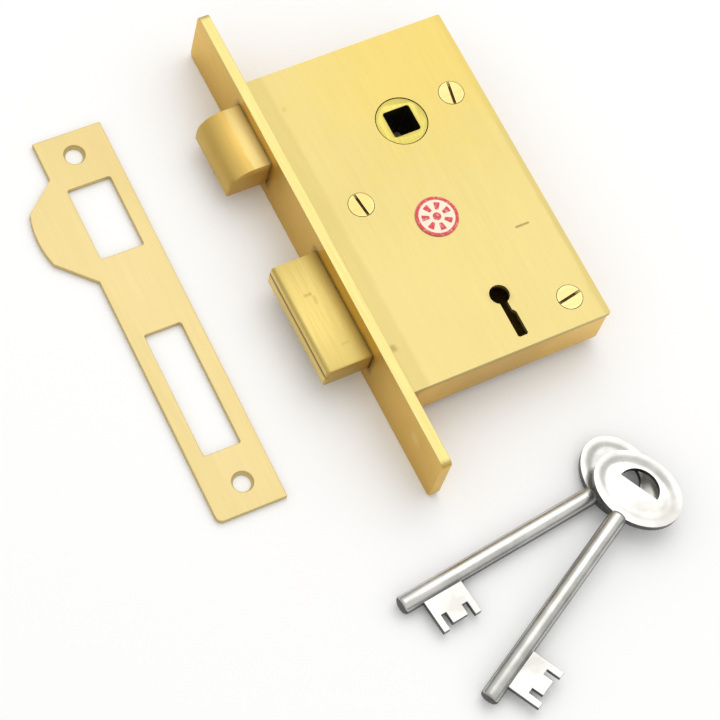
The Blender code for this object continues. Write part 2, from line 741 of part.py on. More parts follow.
def make_key(name, bow_centre, degrees, bow_height, tilt):
    """One key, lying with its bit towards -Y: bow, shank and toothed bit in one piece."""
    turn = (0, tilt, math.radians(degrees))
    place = (*bow_centre, bow_height)
    bow = plate_mesh(name, bow_outline(), BOW_THICK)
    key = add_part(name, bow, NICKEL, place, turn)
    inner = BOW_LENGTH / 2 - 0.7 * MM
    tip = 0.8 * MM
    profile = [(0, 0), (SHANK_RADIUS - tip, 0), (SHANK_RADIUS, -tip),
               (SHANK_RADIUS, inner - KEY_LENGTH), (0, inner - KEY_LENGTH)]
    shank = turned(name + "_shank", profile, NICKEL, steps=24)
    as_cutter(shank)
    shank.matrix_world = key.matrix_basis @ shank_frame()
    fuse(key, shank)
    bit = plate_mesh(name + "_bit", [bit_outline()], BIT_THICK)
    tool = cutter(name + "_bit", bit, place, turn)
    fuse(key, tool)
    soften(key, 0.2 * MM, 1, 50)
    return key


def shank_frame():
    """Frame at the key's tip, its Z pointing out of the tip."""
    return Matrix.Translation((-KEY_LENGTH, 0, 0)) @ Matrix.Rotation(-math.pi / 2, 4, "Y")


def make_keys():
    """Two keys, one lying on the table and the other resting its bow on the first."""
    axis_height = TABLE + SHANK_RADIUS
    make_key("key_lower", (48.7 * MM, -88.95 * MM), 6.7, axis_height, 0)
    shank_end = KEY_LENGTH - BOW_LENGTH / 2
    rise = (BOW_THICK / 2 + GAP + SHANK_RADIUS) * KEY_LENGTH / shank_end
    tilt = -math.asin(rise / KEY_LENGTH)
    make_key("key_upper", (49.7 * MM, -94.9 * MM), 28.3, axis_height + rise, tilt)


make_forend()
make_rivets()
make_case()
make_cap()
make_cap_screws()
make_latch_bolt()
make_latch_tail()
make_latch_spring()
make_follower()
make_deadbolt()
make_levers()
make_lever_posts()
make_label()
make_strike_plate()
make_keys()
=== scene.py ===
"""Brass mortice door lock with its strike plate and two keys, laid out on a pale table."""

import math

import bpy
from mathutils import Matrix, Vector


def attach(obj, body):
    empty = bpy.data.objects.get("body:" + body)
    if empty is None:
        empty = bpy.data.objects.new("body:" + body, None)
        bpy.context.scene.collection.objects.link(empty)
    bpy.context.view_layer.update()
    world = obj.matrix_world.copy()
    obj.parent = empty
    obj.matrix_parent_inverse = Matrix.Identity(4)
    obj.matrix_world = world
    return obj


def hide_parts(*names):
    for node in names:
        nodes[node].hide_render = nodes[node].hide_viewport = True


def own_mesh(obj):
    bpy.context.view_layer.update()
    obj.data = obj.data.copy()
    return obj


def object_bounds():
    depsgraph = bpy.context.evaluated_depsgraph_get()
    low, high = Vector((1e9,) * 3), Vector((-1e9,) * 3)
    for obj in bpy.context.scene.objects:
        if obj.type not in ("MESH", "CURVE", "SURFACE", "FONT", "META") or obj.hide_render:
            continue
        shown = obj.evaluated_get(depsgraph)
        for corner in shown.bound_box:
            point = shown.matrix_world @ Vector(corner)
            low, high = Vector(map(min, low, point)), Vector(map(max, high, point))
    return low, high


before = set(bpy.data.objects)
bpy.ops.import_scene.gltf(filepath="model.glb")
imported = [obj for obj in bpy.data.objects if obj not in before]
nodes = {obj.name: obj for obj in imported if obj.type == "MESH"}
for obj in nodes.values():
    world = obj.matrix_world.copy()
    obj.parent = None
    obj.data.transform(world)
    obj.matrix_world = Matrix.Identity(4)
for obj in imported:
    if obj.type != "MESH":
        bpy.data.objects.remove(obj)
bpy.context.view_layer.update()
MM = 0.001


# ---------------------------------------------------------------- camera, light and table
# The lock is seen from above its forend and its lower end, with the camera rolled so that
# the case leans to the left. A long lens keeps the edges nearly parallel.

view_target = Vector((-2.3, -33.6, 0.0)) * MM
view_distance = 727.7 * MM
view_elevation = math.radians(62.9)
view_bearing = math.radians(224.4)
view_roll = math.radians(20.6)
view_lens = 138.5

toward_camera = Vector((math.cos(view_elevation) * math.cos(view_bearing),
                        math.cos(view_elevation) * math.sin(view_bearing),
                        math.sin(view_elevation)))
camera_data = bpy.data.cameras.new("camera")
camera_data.lens = view_lens
camera_data.sensor_width = 36
camera_data.clip_start = 0.01
camera_data.clip_end = 20
camera = bpy.data.objects.new("camera", camera_data)
bpy.context.scene.collection.objects.link(camera)
aim = toward_camera.to_track_quat("Z", "Y").to_matrix().to_4x4()
camera.matrix_world = (Matrix.Translation(view_target + toward_camera * view_distance)
                       @ aim @ Matrix.Rotation(view_roll, 4, "Z"))
bpy.context.scene.camera = camera
bpy.context.scene.view_settings.view_transform = "Standard"

world = bpy.data.worlds.new("studio")
bpy.context.scene.world = world
world.use_nodes = True
sky = world.node_tree
sky.nodes.clear()
sky_place = sky.nodes.new("ShaderNodeTexCoord")
sky_split = sky.nodes.new("ShaderNodeSeparateXYZ")
sky_ramp = sky.nodes.new("ShaderNodeValToRGB")
sky_ramp.color_ramp.elements[0].position = 0.0
sky_ramp.color_ramp.elements[0].color = (0.10, 0.10, 0.10, 1)
sky_ramp.color_ramp.elements[1].position = 0.45
sky_ramp.color_ramp.elements[1].color = (1.0, 1.0, 1.0, 1)
middle_sky = sky_ramp.color_ramp.elements.new(0.16)
middle_sky.color = (0.35, 0.35, 0.35, 1)
sky_light = sky.nodes.new("ShaderNodeBackground")
sky_light.inputs["Strength"].default_value = 0.92
sky_out = sky.nodes.new("ShaderNodeOutputWorld")
sky.links.new(sky_place.outputs["Generated"], sky_split.inputs["Vector"])
sky.links.new(sky_split.outputs["Z"], sky_ramp.inputs["Fac"])
sky.links.new(sky_ramp.outputs["Color"], sky_light.inputs["Color"])
sky.links.new(sky_light.outputs["Background"], sky_out.inputs["Surface"])


def soft_box(name, bearing, elevation, distance, size, power, colour):
    """A square area light aimed at the middle of the layout."""
    direction = Vector((math.cos(math.radians(elevation)) * math.cos(math.radians(bearing)),
                        math.cos(math.radians(elevation)) * math.sin(math.radians(bearing)),
                        math.sin(math.radians(elevation))))
    lamp = bpy.data.lights.new(name, "AREA")
    lamp.shape = "SQUARE"
    lamp.size = size
    lamp.energy = power
    lamp.color = colour
    holder = bpy.data.objects.new(name, lamp)
    bpy.context.scene.collection.objects.link(holder)
    holder.location = view_target + direction * distance
    holder.rotation_euler = direction.to_track_quat("Z", "Y").to_euler()


soft_box("overhead_box", 44.4, 62.9, 1.3, 1.1, 5.2, (1.0, 0.99, 0.96))

bpy.ops.object.select_all(action="DESELECT")
table_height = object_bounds()[0][2] - 0.05 * MM
bpy.ops.mesh.primitive_plane_add(size=6, location=(0, 0, table_height))
table = bpy.context.object
table.name = "table"
table_paint = bpy.data.materials.new("pale_table")
table_paint.use_nodes = True
table_shader = table_paint.node_tree.nodes["Principled BSDF"]
table_shader.inputs["Base Color"].default_value = (0.93, 0.93, 0.93, 1)
table_shader.inputs["Roughness"].default_value = 0.9
table_shader.inputs["Specular IOR Level"].default_value = 0.1
table.data.materials.append(table_paint)


# ---------------------------------------------------------------- forend
# The face plate: 3 mm cast brass, linished along its length and lacquered. The brown round
# the windows that the two bolts come through is painted shade at the bolts' roots, and the
# paler, greyer strip along its top edge is painted light. Two tenons from the case are
# riveted into its back.

def new_group(name, inputs, outputs):
    """An empty node group with named sockets, and its two end nodes."""
    group = bpy.data.node_groups.new(name, "ShaderNodeTree")
    for label, kind, value in inputs:
        socket = group.interface.new_socket(name=label, in_out="INPUT", socket_type=kind)
        socket.default_value = value
    for label, kind in outputs:
        group.interface.new_socket(name=label, in_out="OUTPUT", socket_type=kind)
    return group, group.nodes.new("NodeGroupInput"), group.nodes.new("NodeGroupOutput")


def node(tree, kind, links=(), **settings):
    """A node with its settings, and with sockets linked or given a value by name."""
    made = tree.nodes.new(kind)
    for key, value in settings.items():
        setattr(made, key, value)
    for socket, source in links:
        target = made.inputs[socket]
        if isinstance(source, bpy.types.NodeSocket):
            tree.links.new(source, target)
        else:
            target.default_value = source
    return made


def blend(tree, factor, below, above, kind="MIX"):
    """Colour `above` laid over `below` by a factor."""
    made = node(tree, "ShaderNodeMix", [(0, factor), (6, below), (7, above)],
                data_type="RGBA", blend_type=kind)
    return made.outputs[2]


def spread(tree, value, low, high, out_low=0.0, out_high=1.0, smooth=False):
    """A value taken from one range to another, clamped."""
    made = node(tree, "ShaderNodeMapRange",
                [("Value", value), ("From Min", low), ("From Max", high),
                 ("To Min", out_low), ("To Max", out_high)],
                interpolation_type="SMOOTHSTEP" if smooth else "LINEAR")
    return made.outputs["Result"]


def arithmetic(tree, operation, first, second, clamp=False):
    """The result of a Math node on two values."""
    made = node(tree, "ShaderNodeMath", [(0, first), (1, second)], operation=operation,
                use_clamp=clamp)
    return made.outputs["Value"]


def build_linished():
    """Linished metal: cloudy tone, grain lines, fine scratches and a few pits."""
    group, given, out = new_group(
        "linished_metal",
        [("Pale", "NodeSocketColor", (0.86, 0.72, 0.34, 1)),
         ("Deep", "NodeSocketColor", (0.76, 0.60, 0.24, 1)),
         ("Cloud Scale", "NodeSocketFloat", 22.0),
         ("Grain Scale", "NodeSocketVector", (2200.0, 60.0, 2200.0)),
         ("Grain", "NodeSocketFloat", 0.3),
         ("Scratches", "NodeSocketFloat", 0.3),
         ("Smooth", "NodeSocketFloat", 0.30),
         ("Rough", "NodeSocketFloat", 0.48)],
        [("Colour", "NodeSocketColor"), ("Roughness", "NodeSocketFloat"),
         ("Normal", "NodeSocketVector")])
    place = node(group, "ShaderNodeTexCoord").outputs["Object"]
    clouds = node(group, "ShaderNodeTexNoise",
                  [("Vector", place), ("Scale", given.outputs["Cloud Scale"]), ("Detail", 3.0),
                   ("Roughness", 0.55)]).outputs["Fac"]
    stretched = node(group, "ShaderNodeMapping",
                     [("Vector", place), ("Scale", given.outputs["Grain Scale"])])
    grain = node(group, "ShaderNodeTexNoise",
                 [("Vector", stretched.outputs["Vector"]), ("Scale", 1.0), ("Detail", 4.0),
                  ("Roughness", 0.6)]).outputs["Fac"]
    turned = node(group, "ShaderNodeMapping",
                  [("Vector", place), ("Rotation", (0.0, 0.0, 0.9)),
                   ("Scale", (900.0, 45.0, 900.0))])
    marks = node(group, "ShaderNodeTexNoise",
                 [("Vector", turned.outputs["Vector"]), ("Scale", 1.0),
                  ("Detail", 2.0)]).outputs["Fac"]
    pits = node(group, "ShaderNodeTexVoronoi",
                [("Vector", place), ("Scale", 260.0)]).outputs["Distance"]
    lined = arithmetic(group, "MULTIPLY", grain, given.outputs["Grain"])
    scored = arithmetic(group, "MULTIPLY", spread(group, marks, 0.70, 0.76),
                        given.outputs["Scratches"])
    pitted = arithmetic(group, "MULTIPLY", spread(group, pits, 0.10, 0.03),
                        given.outputs["Scratches"])
    tone = arithmetic(group, "SUBTRACT", spread(group, clouds, 0.35, 0.65), lined, True)
    colour = blend(group, tone, given.outputs["Deep"], given.outputs["Pale"])
    rough = node(group, "ShaderNodeMapRange",
                 [("Value", grain), ("From Min", 0.3), ("From Max", 0.7),
                  ("To Min", given.outputs["Smooth"]), ("To Max", given.outputs["Rough"])])
    height = arithmetic(group, "SUBTRACT", arithmetic(group, "SUBTRACT", lined, scored), pitted)
    bump = node(group, "ShaderNodeBump",
                [("Height", height), ("Strength", 0.25), ("Distance", 0.00004)])
    group.links.new(colour, out.inputs["Colour"])
    group.links.new(rough.outputs["Result"], out.inputs["Roughness"])
    group.links.new(bump.outputs["Normal"], out.inputs["Normal"])
    return group


def build_worn_edges():
    """A mask that is 1 along the corners, broken up where hands haven't rubbed them."""
    group, given, out = new_group(
        "worn_edges",
        [("Radius", "NodeSocketFloat", 0.0004), ("Patchiness", "NodeSocketFloat", 240.0)],
        [("Mask", "NodeSocketFloat")])
    rounded = node(group, "ShaderNodeBevel", [("Radius", given.outputs["Radius"])], samples=4)
    flat = node(group, "ShaderNodeNewGeometry")
    facing = node(group, "ShaderNodeVectorMath",
                  [(0, rounded.outputs["Normal"]), (1, flat.outputs["Normal"])],
                  operation="DOT_PRODUCT").outputs["Value"]
    place = node(group, "ShaderNodeTexCoord").outputs["Object"]
    patches = node(group, "ShaderNodeTexNoise",
                   [("Vector", place), ("Scale", given.outputs["Patchiness"]),
                    ("Detail", 2.0)]).outputs["Fac"]
    edge = spread(group, facing, 0.995, 0.90)
    mask = arithmetic(group, "MULTIPLY", edge, spread(group, patches, 0.30, 0.55))
    group.links.new(mask, out.inputs["Mask"])
    return group


def build_soft_patch():
    """A mask that is 1 inside a box and fades out round it, with an uneven border."""
    group, given, out = new_group(
        "soft_patch",
        [("Centre", "NodeSocketVector", (0.0, 0.0, 0.0)),
         ("Half Size", "NodeSocketVector", (0.001, 0.001, 0.001)),
         ("Reach", "NodeSocketFloat", 0.002)],
        [("Mask", "NodeSocketFloat")])
    place = node(group, "ShaderNodeTexCoord").outputs["Object"]
    wander = node(group, "ShaderNodeTexNoise",
                  [("Vector", place), ("Scale", 180.0), ("Detail", 3.0)]).outputs["Fac"]
    from_centre = node(group, "ShaderNodeVectorMath",
                       [(0, place), (1, given.outputs["Centre"])], operation="SUBTRACT")
    folded = node(group, "ShaderNodeVectorMath", [(0, from_centre.outputs["Vector"])],
                  operation="ABSOLUTE")
    outside = node(group, "ShaderNodeVectorMath",
                   [(0, folded.outputs["Vector"]), (1, given.outputs["Half Size"])],
                   operation="SUBTRACT")
    kept = node(group, "ShaderNodeVectorMath",
                [(0, outside.outputs["Vector"]), (1, (0.0, 0.0, 0.0))], operation="MAXIMUM")
    distance = node(group, "ShaderNodeVectorMath", [(0, kept.outputs["Vector"])],
                    operation="LENGTH").outputs["Value"]
    uneven = arithmetic(group, "MULTIPLY", distance, spread(group, wander, 0.3, 0.7, 0.7, 1.3))
    fade = node(group, "ShaderNodeMapRange",
                [("Value", uneven), ("From Min", 0.0), ("From Max", given.outputs["Reach"]),
                 ("To Min", 1.0), ("To Max", 0.0)], interpolation_type="SMOOTHSTEP")
    group.links.new(fade.outputs["Result"], out.inputs["Mask"])
    return group


linished = build_linished()
worn_edges = build_worn_edges()
soft_patch = build_soft_patch()
ALONG_X = (60.0, 2200.0, 2200.0)
ALONG_Y = (2200.0, 60.0, 2200.0)
ROUND_Z = (900.0, 900.0, 900.0)


def metal(name, pale, deep, smooth, rough, grain_scale=ALONG_Y, grain=0.3, scratches=0.3,
          clouds=22.0, edge=(0.95, 0.80, 0.42), edge_share=0.35, patches=()):
    """A linished finish with this piece's tones, its rubbed edges and its shaded patches.

    A patch is (centre, half size, reach, colour, share), in millimetres."""
    material = bpy.data.materials.new(name)
    material.use_nodes = True
    tree = material.node_tree
    shader = tree.nodes["Principled BSDF"]
    shader.inputs["Metallic"].default_value = 1.0
    finish = node(tree, "ShaderNodeGroup", node_tree=linished)
    for label, value in (("Pale", (*pale, 1)), ("Deep", (*deep, 1)), ("Cloud Scale", clouds),
                         ("Grain Scale", grain_scale), ("Grain", grain),
                         ("Scratches", scratches), ("Smooth", smooth), ("Rough", rough)):
        finish.inputs[label].default_value = value
    wear = node(tree, "ShaderNodeGroup", node_tree=worn_edges)
    rubbed = arithmetic(tree, "MULTIPLY", wear.outputs["Mask"], edge_share)
    colour = blend(tree, rubbed, finish.outputs["Colour"], (*edge, 1))
    for centre, half, reach, tint, share in patches:
        patch = node(tree, "ShaderNodeGroup", node_tree=soft_patch)
        patch.inputs["Centre"].default_value = Vector(centre) * MM
        patch.inputs["Half Size"].default_value = Vector(half) * MM
        patch.inputs["Reach"].default_value = reach * MM
        colour = blend(tree, arithmetic(tree, "MULTIPLY", patch.outputs["Mask"], share),
                       colour, (*tint, 1))
    tree.links.new(colour, shader.inputs["Base Color"])
    tree.links.new(finish.outputs["Roughness"], shader.inputs["Roughness"])
    tree.links.new(finish.outputs["Normal"], shader.inputs["Normal"])
    return material


def dress(node_name, material):
    """Give a piece of the frame its finish."""
    mesh = nodes[node_name].data
    mesh.materials.clear()
    mesh.materials.append(material)


# A brown used for painted shade round the forend's windows and on the case beside the forend, and
# for real nicks and scratches.
SHADE_AND_MARK_BROWN = (0.20, 0.12, 0.035)
forend_brass = metal(
    "forend_brass", (0.79, 0.53, 0.118), (0.69, 0.45, 0.094), 0.36, 0.50, grain=0.25,
    edge=(0.70, 0.57, 0.26), edge_share=0.3,
    # painted shade: the two brown patches round the windows; the small brown spot after them is a
    # real nick.
    patches=(((0, 35.7, 0), (4, 9.9, 5.2), 2.6, SHADE_AND_MARK_BROWN, 0.75),
             ((0, -18.5, 0), (4, 16.7, 3.7), 2.6, SHADE_AND_MARK_BROWN, 0.75),
             ((1.5, 63.4, 10), (0.8, 0.8, 0.8), 0.5, SHADE_AND_MARK_BROWN, 0.5),
             ((0, -60, 2), (1, 0.3, 0.3), 3, (0.84, 0.68, 0.30), 0.35),
             # painted light: the top edge strip is given a paler, greyer tone than the face.
             ((1.5, 0, 10), (3, 75, 0.2), 0.3, (0.60, 0.50, 0.20), 0.95)))
for name in ("forend", "forend_rivet_1", "forend_rivet_2"):
    dress(name, forend_brass)


# ---------------------------------------------------------------- case
# A sand-cast tray with the pillars for the cap's screws, dressed on a belt and left a
# deeper gold than the cap. Its long side is browner in the middle.

case_brass = metal(
    "case_brass", (0.84, 0.58, 0.172), (0.71, 0.47, 0.13), 0.38, 0.54, ALONG_X,
    edge_share=0.25,
    patches=(((30, -50, 0), (6, 2, 8), 14, (0.60, 0.40, 0.12), 0.6),
             ((33, 0, 6.2), (40, 55, 0.1), 0.5, (0.16, 0.11, 0.03), 0.8),
             # painted shade: brown on the case beside the forend.
             ((3, 0, 0), (0.5, 55, 8), 4, SHADE_AND_MARK_BROWN, 0.5)))
dress("case_body", case_brass)
for number in (1, 2, 3):
    dress(f"cap_pillar_{number}", case_brass)


# ---------------------------------------------------------------- cap
# Rolled brass sheet with a fine satin lacquer, paler than the castings. A dull olive band
# beside the forend and a darker line along the back edge are painted shade. Handling has
# left a curved scratch near the back and two faint nicks.

# An olive used for painted shade on the cap and for one real nick.
SHADE_AND_MARK_OLIVE = (0.46, 0.37, 0.12)
cap_brass = metal(
    "cap_brass", (0.64, 0.53, 0.222), (0.61, 0.50, 0.198), 0.50, 0.54, ALONG_Y, 0.012, 0.05,
    12.0, edge_share=0.2,
    # painted shade: olive beside the forend and along the back edge; the rest are a broad tint and
    # real marks.
    patches=(((6.2, 0, 7.5), (1.6, 50, 2), 1.6, SHADE_AND_MARK_OLIVE, 0.28),
             ((63.5, 0, 7.5), (0.4, 52, 1), 1.5, SHADE_AND_MARK_OLIVE, 0.45),
             ((50, 44, 7.5), (6, 6, 2), 40, (0.66, 0.51, 0.13), 0.6),
             ((54.2, -17.5, 7.5), (1.9, 0.12, 1), 0.35, SHADE_AND_MARK_BROWN, 0.6),
             ((9.8, 38.5, 7.5), (0.1, 0.2, 1), 0.8, SHADE_AND_MARK_OLIVE, 0.4),
             ((4.6, -36.7, 7.5), (0.1, 0.3, 1), 1.1, SHADE_AND_MARK_BROWN, 0.45),
             ((38.4, -33.6, 7.5), (0, 0, 1), 4.4, SHADE_AND_MARK_BROWN, 0.5)))
dress("case_cap", cap_brass)


# ---------------------------------------------------------------- cap screws
# Three slotted countersunk brass screws hold the cap on its pillars. One is modelled and
# copied, and each ends its turn at its own angle. The slots are painted a dark brown.

def add_material(piece, material):
    """Give a modelled piece its one finish."""
    piece.data.materials.clear()
    piece.data.materials.append(material)


def start_cube(name, low, high):
    """A box between two corners in millimetres."""
    bpy.ops.object.select_all(action="DESELECT")
    middle = (Vector(low) + Vector(high)) / 2 * MM
    bpy.ops.mesh.primitive_cube_add(size=1, location=middle)
    piece = bpy.context.object
    piece.name = piece.data.name = name
    piece.scale = (Vector(high) - Vector(low)) * MM
    bpy.ops.object.transform_apply(location=True, rotation=True, scale=True)
    return piece


def start_rod(name, radius, low, high, turn=(0, 0, 0), sides=48, top_radius=None):
    """A rod or cone in millimetres, standing on Z from low to high before it is turned."""
    bpy.ops.object.select_all(action="DESELECT")
    top = radius if top_radius is None else top_radius
    bpy.ops.mesh.primitive_cone_add(vertices=sides, radius1=radius * MM, radius2=top * MM,
                                    depth=(high - low) * MM,
                                    location=(0, 0, (low + high) / 2 * MM))
    piece = bpy.context.object
    piece.name = piece.data.name = name
    bpy.ops.object.transform_apply(location=True, rotation=True, scale=True)
    place_mesh(piece, (0, 0, 0), turn)
    return piece


def place_mesh(piece, place, turn=(0, 0, 0)):
    """Move a finished mesh to its place, leaving the object at the origin."""
    bpy.ops.object.select_all(action="DESELECT")
    piece.select_set(True)
    bpy.context.view_layer.objects.active = piece
    piece.rotation_euler = turn
    piece.location = Vector(place) * MM
    bpy.ops.object.transform_apply(location=True, rotation=True, scale=True)


def edit(piece, mode, wanted):
    """Open a piece in edit mode with the parts picked by a test on their middle and normal."""
    bpy.ops.object.select_all(action="DESELECT")
    piece.select_set(True)
    bpy.context.view_layer.objects.active = piece
    bpy.ops.object.mode_set(mode="EDIT")
    bpy.ops.mesh.select_mode(type=mode)
    bpy.ops.mesh.select_all(action="DESELECT")
    bpy.ops.object.mode_set(mode="OBJECT")
    mesh = piece.data
    if mode == "FACE":
        for face in mesh.polygons:
            face.select = wanted(face.center / MM, face.normal)
    else:
        for line in mesh.edges:
            ends = [mesh.vertices[i].co / MM for i in line.vertices]
            line.select = wanted(ends[0], ends[1])
    bpy.ops.object.mode_set(mode="EDIT")


def nothing(*ends):
    """The test that picks no part, for an operator that makes its own selection."""
    return False


def finish_edit():
    """Leave edit mode, so that the mesh holds what was shaped."""
    bpy.ops.object.mode_set(mode="OBJECT")


def round_edges(piece, width, segments=2, sharper=40):
    """Break every sharp edge, then shade the piece smooth across its rounded edges."""
    edit(piece, "EDGE", nothing)
    bpy.ops.mesh.edges_select_sharp(sharpness=math.radians(sharper))
    bpy.ops.mesh.bevel(offset=width * MM, segments=segments, affect="EDGES", clamp_overlap=True)
    bpy.ops.mesh.select_all(action="SELECT")
    bpy.ops.mesh.remove_doubles(threshold=0.002 * MM)
    bpy.ops.mesh.normals_make_consistent(inside=False)
    finish_edit()
    bpy.ops.object.shade_smooth_by_angle(angle=math.radians(35))


def boolean(piece, tool, operation="DIFFERENCE"):
    """Cut or join a piece with a tool, apply it, and drop the tool."""
    bpy.ops.object.select_all(action="DESELECT")
    piece.select_set(True)
    bpy.context.view_layer.objects.active = piece
    step = piece.modifiers.new("shape", "BOOLEAN")
    step.operation = operation
    step.solver = "EXACT"
    step.object = tool
    bpy.ops.object.modifier_apply(modifier=step.name)
    bpy.data.objects.remove(tool, do_unlink=True)


def copy_of(piece, name):
    """A copy of a finished piece with its own mesh."""
    twin = piece.copy()
    twin.data = piece.data.copy()
    twin.name = twin.data.name = name
    bpy.context.scene.collection.objects.link(twin)
    return twin


screw_brass = metal("screw_brass", (0.62, 0.50, 0.225), (0.56, 0.43, 0.16), 0.28, 0.42, ALONG_X,
                    0.2, edge_share=0.3)
# The driver slots are painted a dark brown.
dark_slot = metal("dark_slot", (0.16, 0.09, 0.03), (0.10, 0.06, 0.02), 0.6, 0.8, ROUND_Z)
SCREW_HEAD, SCREW_STEM = 3.5, 1.5
HEAD_LOW, HEAD_TOP, STEM_LOW = 6.1, 7.46, 2.2
SLOT_HALF, SLOT_FLOOR = 0.42, 6.75
SCREW_PLACES = ((55.4, 26.2, 80), (16.2, 4.5, 97), (55.8, -41.6, 10))
screw = start_rod("cap_screw", SCREW_STEM, HEAD_LOW, HEAD_TOP, top_radius=SCREW_HEAD)
stem = start_rod("stem", SCREW_STEM, STEM_LOW, HEAD_LOW + 0.1, sides=24)
boolean(screw, stem, "UNION")
driver_slot = start_cube("driver_slot", (-SCREW_HEAD - 1, -SLOT_HALF, SLOT_FLOOR),
                         (SCREW_HEAD + 1, SLOT_HALF, HEAD_TOP + 0.54))
boolean(screw, driver_slot)
round_edges(screw, 0.06, 1, 50)
add_material(screw, screw_brass)
screw.data.materials.append(dark_slot)
for face in screw.data.polygons:
    middle = face.center / MM
    if abs(middle.y) < SLOT_HALF + 0.005 and middle.z > SLOT_FLOOR - 0.05:
        face.material_index = 1
for number, (x, y, degrees) in enumerate(SCREW_PLACES, 1):
    piece = copy_of(screw, f"screw_{number}")
    place_mesh(piece, (x, y, 0), (0, 0, math.radians(degrees)))
    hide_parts(f"cap_screw_{number}")
    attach(piece, "lock_case")
bpy.data.objects.remove(screw, do_unlink=True)


# ---------------------------------------------------------------- follower
# Cast brass hub, faced bright where it shows through the cap, with a square hole for the
# spindle and an arm inside the case that draws the latch. The walls of its hole are painted
# near black as painted shade.

follower_brass = metal("follower_brass", (0.57, 0.50, 0.135), (0.50, 0.42, 0.10), 0.34, 0.46,
                       ALONG_Y, 0.2)
# painted shade: the walls of the spindle hole are painted near black.
bore_shade = metal("bore_shade", (0.055, 0.040, 0.02), (0.03, 0.024, 0.014), 0.5, 0.75, ROUND_Z)
FOLLOWER_CENTRE = (38.4, 23.4, 0)
BOSS_RADIUS, BOSS_HALF = 7.18, 7.4
FLANGE_RADIUS, FLANGE_HALF = 9, 5.7
ARM_HALF, ARM_THICK_HALF, ARM_REACH = 2.4, 2.5, 16.5
SPINDLE_HALF = 4
hub = start_rod("hub", BOSS_RADIUS, -BOSS_HALF, BOSS_HALF, sides=64)
flange = start_rod("flange", FLANGE_RADIUS, -FLANGE_HALF, FLANGE_HALF, sides=64)
boolean(hub, flange, "UNION")
arm = start_cube("arm", (-ARM_HALF, SPINDLE_HALF, -ARM_THICK_HALF),
                 (ARM_HALF, ARM_REACH, ARM_THICK_HALF))
boolean(hub, arm, "UNION")
spindle_hole = start_cube("spindle_hole", (-SPINDLE_HALF, -SPINDLE_HALF, -9),
                          (SPINDLE_HALF, SPINDLE_HALF, 9))
edit(spindle_hole, "EDGE", lambda a, b: abs(a.z - b.z) > 10)
bpy.ops.mesh.bevel(offset=0.7 * MM, segments=3, affect="EDGES")
finish_edit()
boolean(hub, spindle_hole)
round_edges(hub, 0.18, 2, 50)
add_material(hub, follower_brass)
hub.data.materials.append(bore_shade)
for face in hub.data.polygons:
    inside = max(abs(face.center.x), abs(face.center.y)) < (SPINDLE_HALF + 0.02) * MM
    if inside and abs(face.normal.z) < 0.5:
        face.material_index = 1
place_mesh(hub, FOLLOWER_CENTRE)
hub.name = "follower_hub"
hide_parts("follower")
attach(hub, "follower")


# ---------------------------------------------------------------- latch
# The spring latch is a brass casting, filed to a smooth curve that rides over the strike
# plate. A steel tail behind it is drawn back by the follower.

latch_brass = metal(
    "latch_brass", (0.76, 0.54, 0.16), (0.69, 0.48, 0.13), 0.50, 0.62, ALONG_Y, 0.06,
    edge_share=0.35,
    # painted light and shade: a highlight on the flat top by the forend, then shade on the lower
    # nose and on the side toward the lower end.
    patches=(((-1.5, 35.7, 5), (2.8, 9.8, 0.6), 1.2, (0.78, 0.63, 0.27), 0.85),
             ((-12.5, 35.7, -3), (2, 12, 4), 3.5, (0.60, 0.42, 0.12), 0.6),
             ((-4, 25.8, -2), (7, 0.2, 4), 1.5, (0.50, 0.30, 0.07), 0.55)))
LATCH_LOW, LATCH_HIGH = (-12, 25.8, -5.2), (10, 45.6, 5.2)
LATCH_CURVE = 6.9


def outer_top_edge(low, high):
    """A test for the edge of a box that is farthest out of the door and highest."""
    return lambda a, b: (min(a.z, b.z) > high[2] - 0.1 and max(a.x, b.x) < low[0] + 0.1)


latch = start_cube("latch", LATCH_LOW, LATCH_HIGH)
edit(latch, "EDGE", outer_top_edge(LATCH_LOW, LATCH_HIGH))
bpy.ops.mesh.bevel(offset=LATCH_CURVE * MM, segments=20, affect="EDGES")
finish_edit()
round_edges(latch, 0.3, 2, 50)
add_material(latch, latch_brass)
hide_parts("latch_bolt")
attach(latch, "latch")

zinc = metal("zinc_steel", (0.56, 0.56, 0.55), (0.44, 0.44, 0.44), 0.3, 0.5, ROUND_Z,
             edge=(0.8, 0.8, 0.8))
for name in ("latch_tail", "spring_guide"):
    dress(name, zinc)


# ---------------------------------------------------------------- latch spring
# Drawn steel wire coiled round its guide pin, between the latch's tail and the back wall.

spring_wire = metal("spring_wire", (0.40, 0.40, 0.42), (0.28, 0.28, 0.30), 0.28, 0.42, ROUND_Z,
                    edge=(0.6, 0.6, 0.6))
SPRING_START, SPRING_END, SPRING_TURNS = 44.8, 61.8, 7
SPRING_Y, COIL_RADIUS, WIRE_RADIUS = 38.8, 2.4, 0.35
bpy.ops.object.select_all(action="DESELECT")
bpy.ops.mesh.primitive_circle_add(vertices=10, radius=WIRE_RADIUS * MM, fill_type="NOTHING",
                                  location=(SPRING_START * MM, COIL_RADIUS * MM, 0))
spring = bpy.context.object
spring.name = spring.data.name = "return_spring"
bpy.ops.object.transform_apply(location=True, rotation=True, scale=True)
coil = spring.modifiers.new("coil", "SCREW")
coil.axis = "X"
coil.screw_offset = (SPRING_END - SPRING_START) * MM / SPRING_TURNS
coil.iterations = SPRING_TURNS
coil.steps = coil.render_steps = 24
bpy.ops.object.modifier_apply(modifier=coil.name)
edit(spring, "EDGE", nothing)
bpy.ops.mesh.select_non_manifold()
bpy.ops.mesh.fill()
bpy.ops.mesh.select_all(action="SELECT")
bpy.ops.mesh.normals_make_consistent(inside=False)
finish_edit()
bpy.ops.object.shade_smooth_by_angle(angle=math.radians(40))
place_mesh(spring, (0, SPRING_Y, 0))
add_material(spring, spring_wire)
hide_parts("latch_spring")
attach(spring, "lock_case")
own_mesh(spring)
